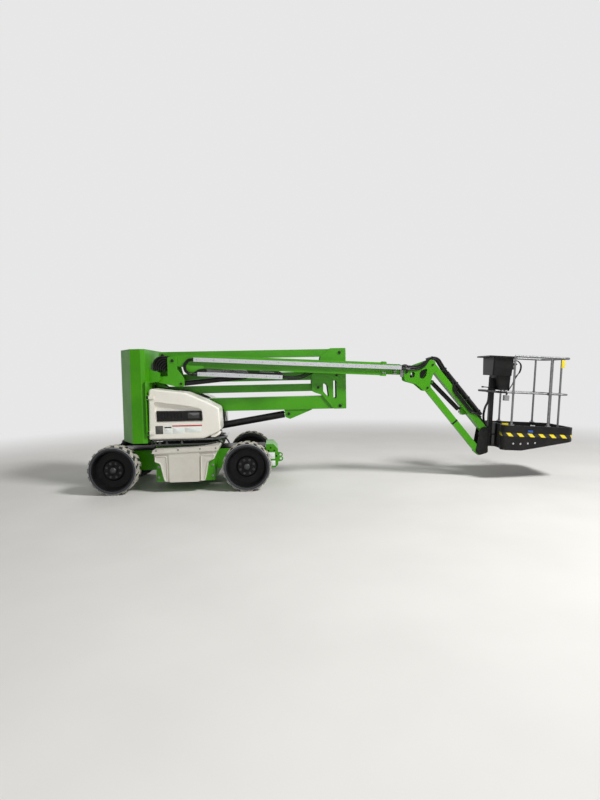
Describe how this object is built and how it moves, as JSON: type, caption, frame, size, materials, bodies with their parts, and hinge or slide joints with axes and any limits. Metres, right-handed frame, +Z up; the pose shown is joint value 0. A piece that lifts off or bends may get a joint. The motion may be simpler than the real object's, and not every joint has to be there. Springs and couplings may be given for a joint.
{
  "type": "articulating boom lift",
  "caption": "Self-propelled articulating boom lift: parallel-link riser, telescopic boom, jib and work cage on a narrow wheeled chassis with a slewing turret.",
  "frame": {"origin": "on the floor under the slewing axis, halfway between the axles", "axes": "+X towards the cage end along the parked boom, +Y to the machine's left side, +Z up along the slewing axis"},
  "size_m": [6.5124, 1.5, 1.866],
  "materials": {
    "green_paint": "gloss paint",
    "black_paint": "semi-gloss paint",
    "cream_moulding": "moulded gel coat",
    "iron_paint": "painted casting",
    "tyre_rubber": "non-marking rubber",
    "rim_steel": "painted pressing",
    "dark_plastic": "moulded",
    "galvanised_steel": "galvanised",
    "rail_steel": "grey tube",
    "hose_rubber": "moulded links",
    "battery_case": "moulded"
  },
  "bodies": {
    "chassis": {"chassis_frame": "green_paint", "front_box": "green_paint", "rear_box": "green_paint", "front_axle": "black_paint", "rear_axle": "black_paint", "side_pod_right": "cream_moulding", "side_pod_left": "cream_moulding", "deck_cover_right": "dark_plastic", "deck_cover_left": "dark_plastic", "slew_ring": "black_paint"},
    "steering_right": {"steering_knuckle_right": "black_paint"},
    "steering_left": {"steering_knuckle_left": "black_paint"},
    "wheel_front_right": {"tyre_front_right": "tyre_rubber", "rim_front_right": "rim_steel"},
    "wheel_front_left": {"tyre_front_left": "tyre_rubber", "rim_front_left": "rim_steel"},
    "wheel_rear_right": {"tyre_rear_right": "tyre_rubber", "rim_rear_right": "rim_steel"},
    "wheel_rear_left": {"tyre_rear_left": "tyre_rubber", "rim_rear_left": "rim_steel"},
    "turret": {"turret_frame": "green_paint", "counterweight": "iron_paint", "power_pack_right": "battery_case", "power_pack_left": "battery_case"},
    "hood_right": {"hood_right": "cream_moulding", "louvre_panel_right": "dark_plastic"},
    "hood_left": {"hood_left": "cream_moulding", "louvre_panel_left": "dark_plastic"},
    "lower_arm": {"lower_arm": "green_paint"},
    "lower_tie": {"lower_tie": "green_paint"},
    "knuckle": {"knuckle": "green_paint"},
    "upper_arm": {"upper_arm": "green_paint"},
    "upper_tie": {"upper_tie": "green_paint"},
    "boom_bracket": {"boom_bracket": "green_paint"},
    "riser_barrel": {"riser_ram_barrel": "black_paint"},
    "riser_rod": {"riser_ram_rod": "black_paint"},
    "luff_barrel": {"luff_ram_barrel": "black_paint"},
    "luff_rod": {"luff_ram_rod": "black_paint"},
    "jib_barrel": {"jib_ram_barrel": "black_paint"},
    "jib_rod": {"jib_ram_rod": "black_paint"},
    "boom_outer": {"boom_outer": "green_paint", "hose_channel_lower": "galvanised_steel"},
    "boom_inner": {"boom_inner": "green_paint", "hose_channel_upper": "galvanised_steel"},
    "hose_loop": {"hose_loop": "hose_rubber"},
    "jib_head": {"jib_head": "green_paint"},
    "jib_arm": {"jib_arm": "green_paint"},
    "jib_tie": {"jib_tie": "green_paint"},
    "cage_carrier": {"cage_carrier": "black_paint"},
    "cage": {"cage_tray": "dark_plastic", "cage_frame": "black_paint", "cage_rails": "rail_steel", "console": "dark_plastic"},
    "entry_bar": {"entry_bar": "rail_steel"}
  },
  "joints": [
    {"name": "steer_right", "type": "hinge", "parent": "chassis", "child": "steering_right", "pos_m": [0.855, -0.52, 0], "axis": [0, 0, 1], "range_deg": [-28, 28]},
    {"name": "roll_front_right", "type": "hinge", "parent": "steering_right", "child": "wheel_front_right", "pos_m": [0.855, -0.62, 0.3155], "axis": [0, 1, 0], "continuous": true},
    {"name": "roll_rear_right", "type": "hinge", "parent": "chassis", "child": "wheel_rear_right", "pos_m": [-0.855, -0.62, 0.3155], "axis": [0, 1, 0], "continuous": true},
    {"name": "open_hood_right", "type": "hinge", "parent": "turret", "child": "hood_right", "pos_m": [-0.4, -0.64, 0], "axis": [0, 0, -1], "range_deg": [0, 80]},
    {"name": "steer_left", "type": "hinge", "parent": "chassis", "child": "steering_left", "pos_m": [0.855, 0.52, 0], "axis": [0, 0, 1], "range_deg": [-28, 28]},
    {"name": "roll_front_left", "type": "hinge", "parent": "steering_left", "child": "wheel_front_left", "pos_m": [0.855, 0.62, 0.3155], "axis": [0, 1, 0], "continuous": true},
    {"name": "roll_rear_left", "type": "hinge", "parent": "chassis", "child": "wheel_rear_left", "pos_m": [-0.855, 0.62, 0.3155], "axis": [0, 1, 0], "continuous": true},
    {"name": "open_hood_left", "type": "hinge", "parent": "turret", "child": "hood_left", "pos_m": [-0.4, 0.64, 0], "axis": [0, 0, 1], "range_deg": [0, 80]},
    {"name": "slew", "type": "hinge", "parent": "chassis", "child": "turret", "pos_m": [0, 0, 0], "axis": [0, 0, 1], "range_deg": [-177.5, 177.5]},
    {"name": "raise_riser", "type": "hinge", "parent": "turret", "child": "lower_arm", "pos_m": [-0.05, 0, 1.044], "axis": [0, -1, 0], "range_deg": [0, 68]},
    {"name": "raise_lower_tie", "type": "hinge", "parent": "turret", "child": "lower_tie", "pos_m": [-0.355, 0, 1.309], "axis": [0, -1, 0], "range_deg": [0, 68]},
    {"name": "level_knuckle", "type": "hinge", "parent": "lower_arm", "child": "knuckle", "pos_m": [2.154, 0, 1.044], "axis": [0, -1, 0], "range_deg": [-68, 0]},
    {"name": "raise_upper_arm", "type": "hinge", "parent": "knuckle", "child": "upper_arm", "pos_m": [2.154, 0, 1.791], "axis": [0, -1, 0], "range_deg": [-68, 0]},
    {"name": "raise_upper_tie", "type": "hinge", "parent": "knuckle", "child": "upper_tie", "pos_m": [2.109, 0, 1.471], "axis": [0, -1, 0], "range_deg": [-68, 0]},
    {"name": "level_bracket", "type": "hinge", "parent": "upper_arm", "child": "boom_bracket", "pos_m": [-0.289, 0, 1.791], "axis": [0, -1, 0], "range_deg": [0, 68]},
    {"name": "swing_riser_ram", "type": "hinge", "parent": "turret", "child": "riser_barrel", "pos_m": [0.14, 0, 0.745], "axis": [0, -1, 0], "range_deg": [0, 65.59]},
    {"name": "push_riser_ram", "type": "slide", "parent": "riser_barrel", "child": "riser_rod", "axis": [0.9882, 0, 0.1532], "range_m": [0, 0.39122]},
    {"name": "luff", "type": "hinge", "parent": "boom_bracket", "child": "boom_outer", "pos_m": [-0.13, -0.22, 1.715], "axis": [0, -1, 0], "range_deg": [0, 73]},
    {"name": "swing_luff_ram", "type": "hinge", "parent": "boom_bracket", "child": "luff_barrel", "pos_m": [-0.02, -0.22, 1.402], "axis": [0, -1, 0], "range_deg": [0, 66.61]},
    {"name": "push_luff_ram", "type": "slide", "parent": "luff_barrel", "child": "luff_rod", "axis": [0.9959, 0, 0.0904], "range_m": [0, 0.37348]},
    {"name": "extend", "type": "slide", "parent": "boom_outer", "child": "boom_inner", "axis": [0.9983, 0, -0.0583], "range_m": [0, 2]},
    {"name": "extend_hoses", "type": "slide", "parent": "boom_outer", "child": "hose_loop", "axis": [0.9983, 0, -0.0583], "range_m": [0, 1]},
    {"name": "level_jib_head", "type": "hinge", "parent": "boom_inner", "child": "jib_head", "pos_m": [3.057, -0.22, 1.499], "axis": [0, -1, 0], "range_deg": [-73, 0]},
    {"name": "raise_jib", "type": "hinge", "parent": "jib_head", "child": "jib_arm", "pos_m": [3.348, -0.22, 1.275], "axis": [0, -1, 0], "range_deg": [0, 110]},
    {"name": "raise_jib_tie", "type": "hinge", "parent": "jib_head", "child": "jib_tie", "pos_m": [3.423, -0.22, 1.59], "axis": [0, -1, 0], "range_deg": [0, 110]},
    {"name": "level_cage", "type": "hinge", "parent": "jib_arm", "child": "cage_carrier", "pos_m": [4.07634, -0.22, 0.35935], "axis": [0, -1, 0], "range_deg": [-110, 0]},
    {"name": "swing_jib_ram", "type": "hinge", "parent": "jib_head", "child": "jib_barrel", "pos_m": [3.438, -0.187, 1.348], "axis": [0, -1, 0], "range_deg": [0, 107.8]},
    {"name": "push_jib_ram", "type": "slide", "parent": "jib_barrel", "child": "jib_rod", "axis": [0.6959, 0, -0.7182], "range_m": [0, 0.39611]},
    {"name": "turn_cage", "type": "hinge", "parent": "cage_carrier", "child": "cage", "pos_m": [4.233, -0.22, 0.43], "axis": [0.0645, 0, 0.9979], "range_deg": [-80, 80]},
    {"name": "lift_entry_bar", "type": "hinge", "parent": "cage", "child": "entry_bar", "pos_m": [4.93272, -0.5537, 1.16237], "axis": [0, 1, 0], "range_deg": [0, 80]}
  ],
  "couplings": [
    {"joint": "steer_left", "follows": "steer_right", "ratio": 1},
    {"joint": "raise_lower_tie", "follows": "raise_riser", "ratio": 1},
    {"joint": "level_knuckle", "follows": "raise_riser", "ratio": -1},
    {"joint": "raise_upper_arm", "follows": "raise_riser", "ratio": -1},
    {"joint": "raise_upper_tie", "follows": "raise_riser", "ratio": -1},
    {"joint": "level_bracket", "follows": "raise_riser", "ratio": 1},
    {"joint": "swing_riser_ram", "follows": "raise_riser", "ratio": 0.96454},
    {"joint": "push_riser_ram", "follows": "raise_riser", "m_per_rad": 0.32964},
    {"joint": "swing_luff_ram", "follows": "luff", "ratio": 0.91251},
    {"joint": "push_luff_ram", "follows": "luff", "m_per_rad": 0.29313},
    {"joint": "extend_hoses", "follows": "extend", "ratio": 0.5},
    {"joint": "level_jib_head", "follows": "luff", "ratio": -1},
    {"joint": "raise_jib_tie", "follows": "raise_jib", "ratio": 1},
    {"joint": "level_cage", "follows": "raise_jib", "ratio": -1},
    {"joint": "swing_jib_ram", "follows": "raise_jib", "ratio": 0.97999},
    {"joint": "push_jib_ram", "follows": "raise_jib", "m_per_rad": 0.20632}
  ]
}
